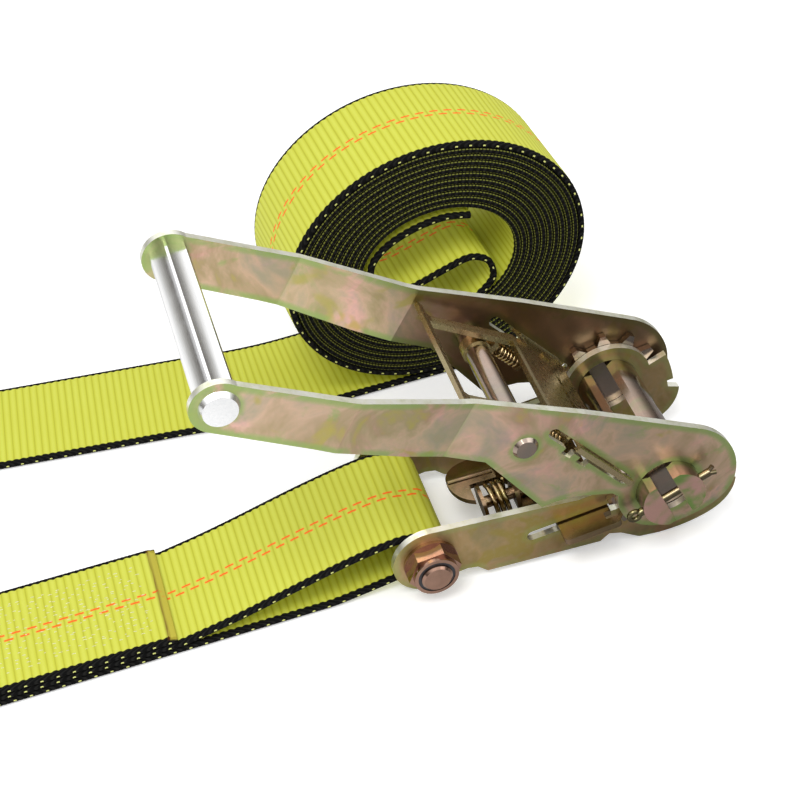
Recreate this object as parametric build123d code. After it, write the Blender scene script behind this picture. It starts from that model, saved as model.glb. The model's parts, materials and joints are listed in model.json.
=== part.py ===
from build123d import *
import os
from math import sin, cos, tan, radians

os.makedirs("parts", exist_ok=True)

# Ratchet tie down: a two-inch ratchet buckle with a long wide handle, its short
# sewn strap, and the long strap that feeds it, rolled up on its rim behind it.
# Millimetres, +Z up. The origin is the middle of the spindle's axis, which runs
# along Y. The bolt end of the frame points to -X and the floor is at floor_z.

floor_z = -30.3
web_width = 50.0
web_thick = 2.8

# Frame: two side plates, drawn level with the bolt at -X, then tipped.
frame_tip = -9.5
bolt_reach = 93.3
frame_inner = 26.75
frame_thick = 2.8
cam_small_r = 18.4
bolt_end_r = 14.5
notch_in = 24.6
notch_top = -9.5
notch_floor = -12.8

# Spindle: two half-round bars with the webbing slot between them.
spindle_r = 12.5
slot_width = 7.0
slot_angle = 65.0
spindle_half_length = 43.2
running_gap = 0.08
cotter_y = 39.9

# Ratchet wheels, one outside each side plate.
tooth_count = 11
tip_r = 22.6
root_r = 17.6
first_tip = 26.4
wheel_in = 29.7
wheel_thick = 2.7

# Handle: joggled arms, wider at the grip than at the hub.
handle_tip = 30.1
grip_reach = 188.9
arm_in = 32.65
arm_thick = 2.8
arm_spread = 9.0
rod_reach = 66.8
rod_height = 3.6
rod_r = 4.7
rod_end_r = 4.3
grip_r = 7.9
grip_pin_r = 6.15
grip_turn = 8.0

# Drive pawl, sliding in the handle's slots; lock plate, sliding in the frame's.
pawl_tilt = 18.0
pawl_slot_start = 22.3
pawl_slot_height = 4.5
pawl_front = 1.3
pawl_low = -0.4
pawl_top = 1.8
pawl_bar_half = 31.0
pawl_leg_in = 21.5
pawl_leg_out = 26.0
lock_height = -6.5
lock_thick = 2.8
lock_front = 22.4
lock_slot_height = 4.5
finger_y = 3.8
finger_slope = 12.0

# Springs: one on a headed pin behind the lock plate, two under the drive pawl.
pin_y = -8.0
pin_z = -3.0
pin_head_x = -65.2
drive_spring_y = 23.6
drive_spring_height = -5.0

# Anchor bolt, M12.
bolt_r = 6.0
nut_flats = 18.0
nut_height = 8.6

# Long strap's roll, standing on its rim.
roll_x = -52.5
roll_y = 114.0
roll_half_w = 66.0
roll_half_h = 58.0
roll_yaw = 3.8
hole_half_w = 34.3
hole_half_h = 26.0
tail_yaw = -3.9
tail_x = -106.0
tail_y = 107.4

# The short strap leaves the bolt slightly skewed.
strap_skew = 3.6

# Guessed end fittings: a wire hook in a sewn eye at the end of each strap.
eye_x = -296.0
eye_r = 7.6
hook_wire = 4.75
hook_droop = -2.7


def rad_point(r, degrees):
    """A point at a radius and an angle, angle measured from +X toward +Z."""
    return (r * cos(radians(degrees)), r * sin(radians(degrees)))


def plate(face, inner, thick):
    """A side plate from a profile drawn in XZ, its faces at Y inner to inner + thick."""
    flat = Plane.XZ * face
    return Pos(0, inner + thick, 0) * extrude(flat, thick)


def bar_y(x, z, r, y0, y1):
    """A round bar along Y."""
    return Pos(x, (y0 + y1) / 2, z) * (Rot(90, 0, 0) * Cylinder(r, y1 - y0))


def bar_x(x0, x1, y, z, r):
    """A round bar along X."""
    return Pos((x0 + x1) / 2, y, z) * (Rot(0, 90, 0) * Cylinder(r, x1 - x0))


def block(x0, x1, y0, y1, z0, z1):
    """A rectangular block between two corners."""
    size = Box(x1 - x0, y1 - y0, z1 - z0)
    return Pos((x0 + x1) / 2, (y0 + y1) / 2, (z0 + z1) / 2) * size


def tip_frame(shape):
    """Turns a part drawn level into the frame's resting tilt."""
    return Rot(0, frame_tip, 0) * shape


def tip_handle(shape):
    """Turns a part drawn level into the handle's resting angle."""
    return Rot(0, handle_tip, 0) * shape


def closed(points):
    """A face from a list of corner points."""
    return make_face(Polyline(*points, close=True))


# ---------------------------------------------------------------- frame


def cam_side():
    """The cam's right side: a step out, a notch, then a stop ledge over the deep belly."""
    stop_tip = (29.2, -15.1)
    step = Polyline((-12.2, -28.0), (0, 0), (18.0, 2.3), (25.8, 4.6))
    rise = Spline((25.8, 4.6), (27.0, -2.6), (27.3, notch_top))
    notch = Polyline(rise @ 1, (notch_in, notch_top), (notch_in, notch_floor), stop_tip)
    deep = [(26.6, -21.6), (22.0, -26.2), (14.6, -29.2), (5.0, -30.4), (-4.1, -29.9)]
    belly = Spline(stop_tip, *deep, (-12.2, -28.0))
    return make_face(step + rise + notch + belly)


def side_plate_face():
    """Frame side plate seen from the side: bolt eye, waist, belly and cam."""
    bolt = (-bolt_reach, 0)
    eye = Pos(*bolt) * Circle(bolt_end_r)
    body = closed(
        [
            (-bolt_reach + 2, bolt_end_r - 0.1),
            (-46.5, 6.1),
            (-33, 3.4),
            (-12, 3.4),
            (0, -6),
            (-4, -30.0),
            (-12.5, -28.2),
            (-19.5, -22.4),
            (-24.0, -20.6),
            (-28.0, -23.0),
            (-73.2, -16.2),
            (-76.5, -12.2),
            (-80.5, -11.0),
            (-85.5, -11.2),
            (-bolt_reach + 6, -13.2),
        ]
    )
    face = eye + body + Circle(cam_small_r) + cam_side()
    # Slot for the lock plate's ear.
    face = face - Pos(-36.2, lock_height) * SlotOverall(38.5, lock_slot_height)
    face = face - Circle(spindle_r + running_gap)
    face = face - Pos(*bolt) * Circle(bolt_r + 0.05)
    return face


def side_plate(side):
    """One frame side plate; side is -1 for near, +1 for far."""
    solid = plate(side_plate_face(), frame_inner, frame_thick)
    if side < 0:
        solid = mirror(solid, about=Plane.XZ)
    return tip_frame(solid)


def hexagon(flats):
    """A hexagon across its flats."""
    return RegularPolygon(flats / 2, 6, major_radius=False)


def anchor_bolt():
    """Hex-head bolt through both plates; head far, thread near."""
    outer = frame_inner + frame_thick
    near_end = -(outer + 10.0)
    shank = bar_y(-bolt_reach, 0, bolt_r, near_end, outer)
    head = plate(Pos(-bolt_reach, 0) * hexagon(nut_flats), outer, 7.0)
    solid = shank + head
    rim = solid.edges().filter_by(GeomType.CIRCLE).sort_by(Axis.Y)[0]
    return tip_frame(chamfer(rim, 0.8))


def anchor_nut():
    """Flanged hex nut on the near side, with a collar for its insert."""
    outer = frame_inner + frame_thick
    flange = bar_y(-bolt_reach, 0, 10.6, -(outer + 1.4), -outer)
    body = mirror(plate(Pos(-bolt_reach, 0) * hexagon(nut_flats), outer + 1.2, 5.6), about=Plane.XZ)
    collar = bar_y(-bolt_reach, 0, 8.6, -(outer + nut_height), -(outer + 6.6))
    bore = bar_y(-bolt_reach, 0, bolt_r + 0.02, -(outer + 20), -outer + 1)
    pocket = bar_y(-bolt_reach, 0, 7.2, -(outer + nut_height + 1), -(outer + 6.8))
    return tip_frame(flange + body + collar - bore - pocket)


def nut_insert():
    """Plastic locking ring held in the nut's collar."""
    outer = frame_inner + frame_thick
    ring = bar_y(-bolt_reach, 0, 7.18, -(outer + nut_height - 0.3), -(outer + 6.82))
    bore = bar_y(-bolt_reach, 0, bolt_r + 0.02, -(outer + 20), -outer + 1)
    return tip_frame(ring - bore)


def spring_bar():
    """Cross bar over the lock plate, with the headed pin its spring rides on."""
    beam = block(-47.4, -44.4, -frame_inner, frame_inner, lock_height + 2.2, 3.2)
    pin = bar_x(pin_head_x, -45.9, pin_y, pin_z, 2.4)
    head = bar_x(pin_head_x - 1.4, pin_head_x, pin_y, pin_z, 7.5)
    return tip_frame(beam + pin + head)


def coil(radius, wire, pitch, length):
    """An open compression spring of eight-sided wire along +Z from the origin."""
    path = Helix(pitch, length, radius)
    section = Plane(path @ 0, z_dir=path % 0) * RegularPolygon(wire, 8)
    return sweep(section, path)


def lock_spring():
    """Coil spring on the pin, between its head and the lock plate's lug."""
    spring = coil(6.1, 1.0, 3.1, 8.2)
    return tip_frame(Pos(-54.9, pin_y, pin_z) * (Rot(0, -90, 0) * spring))


# ---------------------------------------------------------------- lock plate


def finger_tab(z0, z1):
    """The lock plate's half-round tongue: it rises toward the bolt and falls to both sides."""
    ridge_z = 0.4
    top_line = [(-47, z1), (-50, z1), (-57, ridge_z), (-76.2, 2.2)]
    rise = closed(top_line + [(-76.2, 0), (-57.5, -2), (-50.8, z0), (-47, z0)])
    wing = Pos(0, 14, -ridge_z) * extrude(Plane.XZ * rise, 14)
    wing = Rot(-finger_slope, 0, 0) * wing
    wings = Pos(0, finger_y, ridge_z) * (wing + mirror(wing, about=Plane.XZ))
    rib = Pos(-66.6, finger_y, 1.1) * (Rot(0, -84.6, 0) * Cylinder(1.2, 18))
    outline = Pos(-64.4, finger_y, 0) * Cylinder(11.6, 60)
    outline = outline + block(-64.4, -46, finger_y - 11.6, finger_y + 11.6, -30, 30)
    # Cut away beside the spring and its pin.
    clear = block(-68.0, -40, -20, 0.2, -30, 30)
    return (wings + rib) & (outline - clear)


def lock_plate():
    """Flat pawl through both frame slots, with ears, a lug and a finger tab."""
    z0 = lock_height - lock_thick / 2
    z1 = lock_height + lock_thick / 2
    main = block(-43.0, -lock_front, -35.9, 35.9, z0, z1)
    ear_face = Pos(-31.6, 35.2) * RectangleRounded(22.8, 8.0, 1.9) - Pos(-31.6, 33.0) * Rectangle(40, 5.6)
    ear = Pos(0, 0, z0) * extrude(ear_face, lock_thick)
    step = block(-25.4, -10, 32.3, 35.8, z0 - 1, z1 + 1)
    main = main + ear - step
    main = main + mirror(ear, about=Plane.XZ) - mirror(step, about=Plane.XZ)
    root = block(-50.5, -42.0, 0.2, finger_y + 11.6, z0, z1)
    # Upright lug that the spring pushes on, with a hole for its pin.
    lug = block(-53.6, -51.8, -15.0, -1.0, z0, 4.4)
    foot = block(-53.6, -42.0, -15.0, -1.0, z0, z1)
    solid = main + root + finger_tab(z0, z1) + lug + foot
    solid = solid - bar_x(-56, -44, pin_y, pin_z, 2.9)
    solid = solid - block(-51.8, -37.5, pin_y - 3.0, pin_y + 3.0, -6.2, -4.0)
    return tip_frame(solid)


# ---------------------------------------------------------------- spindle


def half_section(side):
    """Section of one spindle half, drawn with the webbing slot upright."""
    keep = Pos(side * 20, 0) * Rectangle(40 - slot_width, 21.4)
    return Circle(spindle_r) & keep


def spindle_half(side):
    """One half-round spindle bar; side is -1 lower left or +1 upper right."""
    face = half_section(side)
    solid = Pos(0, spindle_half_length, 0) * extrude(Plane.XZ * face, 2 * spindle_half_length)
    for end in (-1, 1):
        hole = Pos(0, end * cotter_y, 0) * (Rot(0, 90, 0) * Cylinder(1.75, 60))
        solid = solid - hole
    return Rot(0, slot_angle - 90.0, 0) * solid


def wheel(side):
    """Ratchet wheel with slanted teeth and one bore for each spindle half."""
    pitch = 360.0 / tooth_count
    points = []
    for i in range(tooth_count):
        start = first_tip + (i - 0.3) * pitch
        points.append(rad_point(root_r, start))
        points.append(rad_point(tip_r, start + 0.26 * pitch))
        points.append(rad_point(tip_r, start + 0.44 * pitch))
        points.append(rad_point(root_r, start + 0.62 * pitch))
    bores = Rot(0, 0, 90.0 - slot_angle) * (half_section(-1) + half_section(1))
    solid = plate(closed(points) - bores, wheel_in, wheel_thick)
    if side < 0:
        solid = mirror(solid, about=Plane.XZ)
    return solid


def cotter(side):
    """Split pin across both halves, outside the handle arm: eye and spread legs."""
    shank = Pos(1.0, 0, 0) * (Rot(0, 90, 0) * Cylinder(1.6, 31.0))
    eye = Rot(90, 0, 0) * Torus(2.1, 1.0)
    eye = Pos(-16.0, 0, 0) * eye
    leg = Pos(17.1, 0, 1.2) * (Rot(0, 60, 0) * Cylinder(0.9, 3.0))
    low = Pos(17.1, 0, -1.2) * (Rot(0, 120, 0) * Cylinder(0.9, 3.0))
    solid = shank + eye + leg + low
    solid = Rot(0, slot_angle - 90.0, 0) * solid
    return Pos(0, side * cotter_y, 0) * solid


# ---------------------------------------------------------------- handle


def arm_face():
    """Handle arm seen from the side, grip at -X: long bar, corner, cam hub."""
    body = closed(
        [
            (-190.5, 9.8),
            (-148, 12.8),
            (-101, 16.9),
            (-52, 23.4),
            (-4, 28.1),
            (2, 28.0),
            (2, 0),
            (-17.4, -9.0),
            (-20.6, -8.2),
            (-34.5, -12.6),
            (-41.3, -16.8),
            (-45.6, -20.6),
            (-78.8, -6.0),
            (-112, -8.2),
            (-150, -8.6),
            (-187.5, -10.2),
        ]
    )
    grip_end = Pos(-grip_reach, 0) * Circle(10.3)
    # Hub: small radius underneath, growing to the full radius on top.
    hub_line = Spline(
        rad_point(19.6, 228),
        rad_point(19.7, 262),
        rad_point(20.0, 300),
        rad_point(21.4, 330),
        rad_point(24.0, 350),
        rad_point(27.2, 12),
        rad_point(28.2, 36),
        rad_point(28.4, 66),
        rad_point(28.3, 97),
    )
    hub = make_face(hub_line + Polyline(hub_line @ 1, (0, 0), hub_line @ 0))
    small = Circle(19.6)
    face = body + grip_end + hub + small
    face = face - Pos(-39.4, 5.75) * Rot(0, 0, -pawl_tilt) * SlotOverall(46.0, pawl_slot_height)
    for notch in ((-49.0, 5.6), (-41.0, 3.2)):
        face = face - Pos(*notch) * Rot(0, 0, -pawl_tilt) * Rectangle(4.9, 3.5)
    face = face - Circle(spindle_r + running_gap)
    face = face - Pos(-rod_reach, rod_height) * Circle(rod_end_r)
    face = face - Pos(-grip_reach, 0) * Circle(grip_pin_r + 0.05)
    return face


def arm_path():
    """The arm's plan: outer offset from the hub plane, as (x, offset) corners."""
    return [(40, 0), (-96, 0), (-142, arm_spread), (-215, arm_spread)]


def arm(side):
    """One joggled arm: the side outline cut through a bent strip."""
    corners = arm_path()
    inner = [(x, arm_in + off) for x, off in corners]
    outer = [(x, arm_in + arm_thick + off) for x, off in reversed(corners)]
    strip = extrude(closed(inner + outer), 60, both=True)
    through = Pos(0, 80, 0) * extrude(Plane.XZ * arm_face(), 80)
    solid = strip & through
    if side < 0:
        solid = mirror(solid, about=Plane.XZ)
    return tip_handle(solid)


def riveted_end(x, z, r, face, height):
    """A flattened rivet head on both arms' outer faces, tapering as it stands out."""
    cone = Cone(r, r - 1.1, height)
    near = Pos(x, -face - height / 2, z) * (Rot(90, 0, 0) * cone)
    return near + mirror(near, about=Plane.XZ)


def handle_grip():
    """Fluted extruded grip with turned-down ends riveted over the arms."""
    inner = arm_in + arm_spread
    face_y = inner + arm_thick
    flute_r = 10.85
    face = Circle(grip_r)
    for i in range(6):
        spot = rad_point(grip_r + flute_r - 1.4, 30 + grip_turn + 60 * i)
        face = face - Pos(*spot) * Circle(flute_r)
    body = plate(face, -inner, 2 * inner)
    pin = bar_y(0, 0, grip_pin_r, -face_y, face_y)
    solid = body + pin + riveted_end(0, 0, 7.2, face_y, 1.9)
    return tip_handle(Pos(-grip_reach, 0, 0) * solid)


def handle_rod():
    """Cross rod between the arms, its thinner ends riveted over them."""
    face_y = arm_in + arm_thick
    body = bar_y(-rod_reach, rod_height, rod_r, -arm_in + 0.03, arm_in - 0.03)
    ends = bar_y(-rod_reach, rod_height, rod_end_r - 0.02, -face_y, face_y)
    return tip_handle(body + ends + riveted_end(-rod_reach, rod_height, 4.9, face_y, 1.3))


def slot_frame(s, h):
    """A point in the handle's XZ from distance s along the pawl slot and height h over it."""
    c = cos(radians(pawl_tilt))
    n = sin(radians(pawl_tilt))
    return (-pawl_slot_start - s * c + h * n, 0.2 + s * n + h * c)


def slot_block(s0, s1, h0, h1):
    """The face of a block drawn along the pawl slot."""
    return closed([slot_frame(s0, h0), slot_frame(s0, h1), slot_frame(s1, h1), slot_frame(s1, h0)])


def spring_perch(side):
    """Ring round the cross rod, with the upright its drive spring pushes against."""
    ring = bar_y(-rod_reach, rod_height, 5.6, drive_spring_y - 2.5, drive_spring_y + 2.5)
    upright = plate(slot_block(38.0, 40.4, -8.0, -3.3), drive_spring_y - 2.5, 5.0)
    bore = bar_y(-rod_reach, rod_height, rod_r, 0, 40)
    solid = ring + upright - bore
    if side < 0:
        solid = mirror(solid, about=Plane.XZ)
    return tip_handle(solid)


# ---------------------------------------------------------------- drive pawl


def drive_pawl():
    """Bent pawl plate: blade with ears, two legs over the rod and a raised rear bar."""
    outline = closed(
        [
            slot_frame(pawl_front, pawl_low),
            slot_frame(pawl_front, pawl_top),
            slot_frame(33.5, pawl_top),
            (-90.5, 11.6),
            (-95.8, 13.6),
            (-95.8, 11.4),
            (-90.9, 9.4),
            slot_frame(32.8, pawl_low),
        ]
    )
    solid = plate(outline, -pawl_bar_half, 2 * pawl_bar_half)
    # The opening between the legs over the rod, and the legs' outer sides.
    solid = solid - block(-92.8, -55.2, -pawl_leg_in, pawl_leg_in, 0, 30)
    side = block(-92.8, -42.0, pawl_leg_out, 40, 0, 30)
    solid = solid - side - mirror(side, about=Plane.XZ)
    # Ears through the arms' slots, then their hooked ends outside the arms.
    solid = solid + plate(slot_block(pawl_front, 24.0, pawl_low, pawl_top), -35.9, 71.8)
    end = plate(slot_block(-5.0, 27.0, pawl_low, pawl_top), 35.8, 2.2)
    # Pressed bumps beside the arms, and the lug each drive spring pushes on.
    for s in (28.5, 14.5):
        end = end + plate(slot_block(s - 1.8, s + 1.8, 0, pawl_top + 0.9), 23.2, 2.8)
    end = end + plate(slot_block(22.4, 24.0, -7.8, 0), drive_spring_y - 2.5, 5.0)
    solid = solid + end + mirror(end, about=Plane.XZ)
    # A row of small slots across the blade.
    for y in (-11.5, -3.8, 3.8, 11.5):
        solid = solid - plate(slot_block(11.0, 13.2, -4.0, 4.0), y - 2.6, 5.2)
    return tip_handle(solid)


def drive_spring(side):
    """Coil spring from a perch's upright to the lug under the blade."""
    spring = coil(2.3, 0.55, 2.5, 12.5)
    x, z = slot_frame(37.2, drive_spring_height)
    return tip_handle(Pos(x, side * drive_spring_y, z) * (Rot(0, 90 + pawl_tilt, 0) * spring))


# ---------------------------------------------------------------- straps


def ribbon(points, thick, y0, y1, tangents=None):
    """A strap of even thickness along a smooth XZ curve, between two Y values."""
    path = Spline(*points, tangents=tangents) if tangents else Spline(*points)
    steps = 30
    left = []
    right = []
    for i in range(steps + 1):
        p = path @ (i / steps)
        t = path % (i / steps)
        left.append((p.X - t.Y * thick / 2, p.Y + t.X * thick / 2))
        right.append((p.X + t.Y * thick / 2, p.Y - t.X * thick / 2))
    outline = Spline(*left) + Line(left[-1], right[-1])
    outline = outline + Spline(*reversed(right)) + Line(right[0], left[0])
    return plate(make_face(outline), y0, y1 - y0)


def short_strap():
    """Short strap, sewn back on itself in three layers after looping the bolt."""
    bx = -bolt_reach * cos(radians(frame_tip))
    bz = bolt_reach * sin(radians(frame_tip))
    r_in = bolt_r + 0.25
    r_out = r_in + web_thick
    z0 = floor_z
    top = z0 + 3 * web_thick
    sewn_x = -190.0
    step = (sewn_x, z0 + 2 * web_thick + 0.3)
    loop_top = Spline(
        step,
        (-165, z0 + 10.5),
        (-128, z0 + 20.5),
        (-104, z0 + 25.2),
        (bx, bz + r_out),
        tangents=[(1, 0.05), (1, -0.12)],
    )
    around = ThreePointArc((bx, bz + r_out), (bx + r_out, bz), (bx, bz - r_out))
    under = Spline((bx, bz - r_out), (-112, z0 + 2.2), (-130, z0), tangents=[(-1, 0), (-1, 0)])
    joint_x = eye_x + 25
    base = Polyline((-130, z0), (joint_x, z0), (joint_x, top), (sewn_x, top), step)
    skin = make_face(loop_top + around + under + base)
    inner_top = Spline(
        (sewn_x + 2, z0 + web_thick + 0.6),
        (-165, z0 + 7.6),
        (-128, z0 + 17.6),
        (-104, z0 + 22.3),
        (bx, bz + r_in),
        tangents=[(1, 0.06), (1, -0.12)],
    )
    inner_arc = ThreePointArc((bx, bz + r_in), (bx + r_in, bz), (bx, bz - r_in))
    low_end = (-130, z0 + web_thick)
    inner_low = Spline((bx, bz - r_in), (-112, z0 + 5.0), low_end, tangents=[(-1, 0), (-1, 0)])
    corner = (sewn_x + 2, z0 + web_thick)
    closing = Polyline(low_end, corner, (sewn_x + 2, z0 + web_thick + 0.6))
    eye = make_face(inner_top + inner_arc + inner_low + closing)
    face = skin - eye + end_eye(joint_x + 1, 3 * web_thick)
    # The strap's run is skewed about the bolt while its folds stay along Y.
    run = Pos(bx, 0, 0) * (Rot(0, 0, strap_skew) * Box(600, web_width, 200))
    return plate(face, -web_width, 2 * web_width) & run


def end_eye(low_x, height):
    """Profile of a sewn strap end opening into an eye round a hook's bar."""
    eye = Pos(eye_x, floor_z + eye_r) * Circle(eye_r)
    neck = closed(
        [
            (low_x, floor_z),
            (low_x, floor_z + height),
            (eye_x + 16, floor_z + height),
            (eye_x + 3, floor_z + 2 * eye_r - 0.5),
            (eye_x, floor_z + eye_r),
            (eye_x, floor_z),
        ]
    )
    return eye + neck - Pos(eye_x, floor_z + eye_r) * Circle(hook_wire + 0.25)


def wire_hook():
    """Double-J wire hook drawn about its own bar, opening upward at -X."""
    bends = FilletPolyline((0, 0, 0), (0, 37.5, 0), (-38, 8.5, 0), (-58, 8.5, 0), radius=6.0)
    bow = ThreePointArc((-58, 8.5, 0), (-72, 8.5, 14), (-58, 8.5, 28))
    lip = Line((-58, 8.5, 28), (-48, 8.5, 28))
    path = Wire([*bends.edges(), *bow.edges(), *lip.edges()])
    half = sweep(Plane((0, 0, 0), z_dir=(0, 1, 0)) * Circle(hook_wire), path)
    return Rot(0, hook_droop, 0) * (half + mirror(half, about=Plane.XZ))


def hook_sleeves():
    """Vinyl sleeves over the two lips of the hook."""
    solid = None
    for side in (-1, 1):
        tube = Pos(-51.5, side * 8.5, 28) * (Rot(0, 90, 0) * Cylinder(hook_wire + 1.6, 13.0))
        hole = Pos(-55.0, side * 8.5, 28) * (Rot(0, 90, 0) * Cylinder(hook_wire, 14.4))
        piece = tube - hole
        solid = piece if solid is None else solid + piece
    return Rot(0, hook_droop, 0) * solid


def short_place(shape):
    """Sets a hook part in the short strap's eye."""
    bolt_x = -bolt_reach * cos(radians(frame_tip))
    y = (eye_x - bolt_x) * tan(radians(strap_skew))
    return Pos(eye_x, y, floor_z + eye_r) * shape


def long_place(shape):
    """Sets a hook part in the long strap's eye, in line with its tail."""
    spot = Pos(tail_x, tail_y, 0) * Rot(0, 0, tail_yaw)
    return spot * (Pos(eye_x - tail_x, 0, floor_z + eye_r) * shape)


def roll_place(shape):
    """Sets a part drawn about the roll's centre in its place behind the ratchet."""
    return Pos(roll_x, roll_y, floor_z + roll_half_h) * (Rot(0, 0, roll_yaw) * shape)


def long_strap_roll():
    """The wound layers of the long strap, as one oval ring."""
    face = Ellipse(roll_half_w, roll_half_h) - Pos(0, 1.5) * Ellipse(hole_half_w, hole_half_h)
    return roll_place(plate(face, -web_width / 2, web_width))


def long_strap_core():
    """The strap's inner end, curling loosely across the roll's hole."""
    points = [
        (21.0, -15.4),
        (24.4, -9.4),
        (20.5, -2.8),
        (13.0, -0.6),
        (4.0, -3.4),
        (-13.0, -9.0),
        (-22.5, -9.4),
        (-28.4, -2.0),
        (-27.2, 9.0),
        (-19.5, 16.6),
        (-7.0, 21.2),
        (8.0, 22.6),
        (15.0, 20.4),
    ]
    return roll_place(ribbon(points, 2.6, -web_width / 2, web_width / 2))


def long_strap_tail():
    """The strap's tail along the floor, sewn double round its hook at the end."""
    sewn_x = eye_x + 60
    flat = Pos((sewn_x + tail_x) / 2, floor_z + web_thick / 2) * Rectangle(tail_x - sewn_x, web_thick)
    face = flat + end_eye(sewn_x + 1, 2 * web_thick)
    piece = plate(face, -web_width / 2, web_width)
    return Pos(tail_x, tail_y, 0) * (Rot(0, 0, tail_yaw) * (Pos(-tail_x, 0, 0) * piece))


# ---------------------------------------------------------------- export

parts = {
    "side_plate_near": side_plate(-1),
    "side_plate_far": side_plate(1),
    "anchor_bolt": anchor_bolt(),
    "anchor_nut": anchor_nut(),
    "nut_insert": nut_insert(),
    "spring_bar": spring_bar(),
    "lock_spring": lock_spring(),
    "lock_plate": lock_plate(),
    "spindle_half_lower": spindle_half(-1),
    "spindle_half_upper": spindle_half(1),
    "wheel_near": wheel(-1),
    "wheel_far": wheel(1),
    "cotter_near": cotter(-1),
    "cotter_far": cotter(1),
    "arm_near": arm(-1),
    "arm_far": arm(1),
    "handle_grip": handle_grip(),
    "handle_rod": handle_rod(),
    "spring_perch_near": spring_perch(-1),
    "spring_perch_far": spring_perch(1),
    "drive_pawl": drive_pawl(),
    "drive_spring_near": drive_spring(-1),
    "drive_spring_far": drive_spring(1),
    "short_strap": short_strap(),
    "long_strap_roll": long_strap_roll(),
    "long_strap_core": long_strap_core(),
    "long_strap_tail": long_strap_tail(),
    "short_hook": short_place(wire_hook()),
    "short_hook_sleeves": short_place(hook_sleeves()),
    "long_hook": long_place(wire_hook()),
    "long_hook_sleeves": long_place(hook_sleeves()),
}
for name, shape in parts.items():
    export_step(shape, f"parts/{name}.step")
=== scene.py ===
import bmesh
import bpy
import json
import math
import random
from mathutils import Matrix, Vector


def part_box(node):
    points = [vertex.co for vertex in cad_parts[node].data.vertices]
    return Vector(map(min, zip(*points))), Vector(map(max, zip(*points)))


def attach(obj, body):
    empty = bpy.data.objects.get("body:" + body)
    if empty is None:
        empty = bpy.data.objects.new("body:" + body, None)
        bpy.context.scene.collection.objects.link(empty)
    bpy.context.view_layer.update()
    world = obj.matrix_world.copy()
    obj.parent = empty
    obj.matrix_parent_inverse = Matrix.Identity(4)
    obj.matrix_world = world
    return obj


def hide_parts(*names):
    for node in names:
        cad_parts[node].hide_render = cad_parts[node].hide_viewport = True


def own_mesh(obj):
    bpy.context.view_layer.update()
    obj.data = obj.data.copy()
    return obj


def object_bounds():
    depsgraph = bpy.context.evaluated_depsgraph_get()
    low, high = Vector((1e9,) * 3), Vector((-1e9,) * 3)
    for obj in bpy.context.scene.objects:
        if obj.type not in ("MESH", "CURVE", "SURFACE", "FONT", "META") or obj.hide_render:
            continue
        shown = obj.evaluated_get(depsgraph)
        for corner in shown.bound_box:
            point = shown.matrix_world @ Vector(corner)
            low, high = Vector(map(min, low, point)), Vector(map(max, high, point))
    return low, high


# Ratchet tie down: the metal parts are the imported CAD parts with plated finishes, and the
# two straps, their sewing and the three coil springs are modelled here in the CAD's places.
# Metres, in the CAD frame: the origin is the spindle's middle and +Z is up.

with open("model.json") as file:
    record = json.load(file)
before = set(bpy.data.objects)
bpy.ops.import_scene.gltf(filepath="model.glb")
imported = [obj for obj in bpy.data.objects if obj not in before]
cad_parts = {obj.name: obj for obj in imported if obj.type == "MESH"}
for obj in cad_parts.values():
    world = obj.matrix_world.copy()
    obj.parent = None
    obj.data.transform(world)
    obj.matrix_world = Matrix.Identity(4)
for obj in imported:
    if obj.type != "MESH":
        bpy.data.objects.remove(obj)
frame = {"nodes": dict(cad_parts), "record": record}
cad_low, cad_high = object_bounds()
MM = 0.001
rng = random.Random(11)

# Webbing
WEB_HALF = 24.7 * MM
WEB_THICK = 2.6 * MM
LAYER = 2.8 * MM
RIB_PITCH = 3.0 * MM
RIB_HEIGHT = 0.24 * MM
ROWS_PER_RIB = 6
DOT_PITCH = 2 * RIB_PITCH
SEAL = 2.8 * MM
SKEW = math.tan(math.radians(3.6))

floor_z = cad_low.z


# ---------------------------------------------------------------- node helpers


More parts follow.
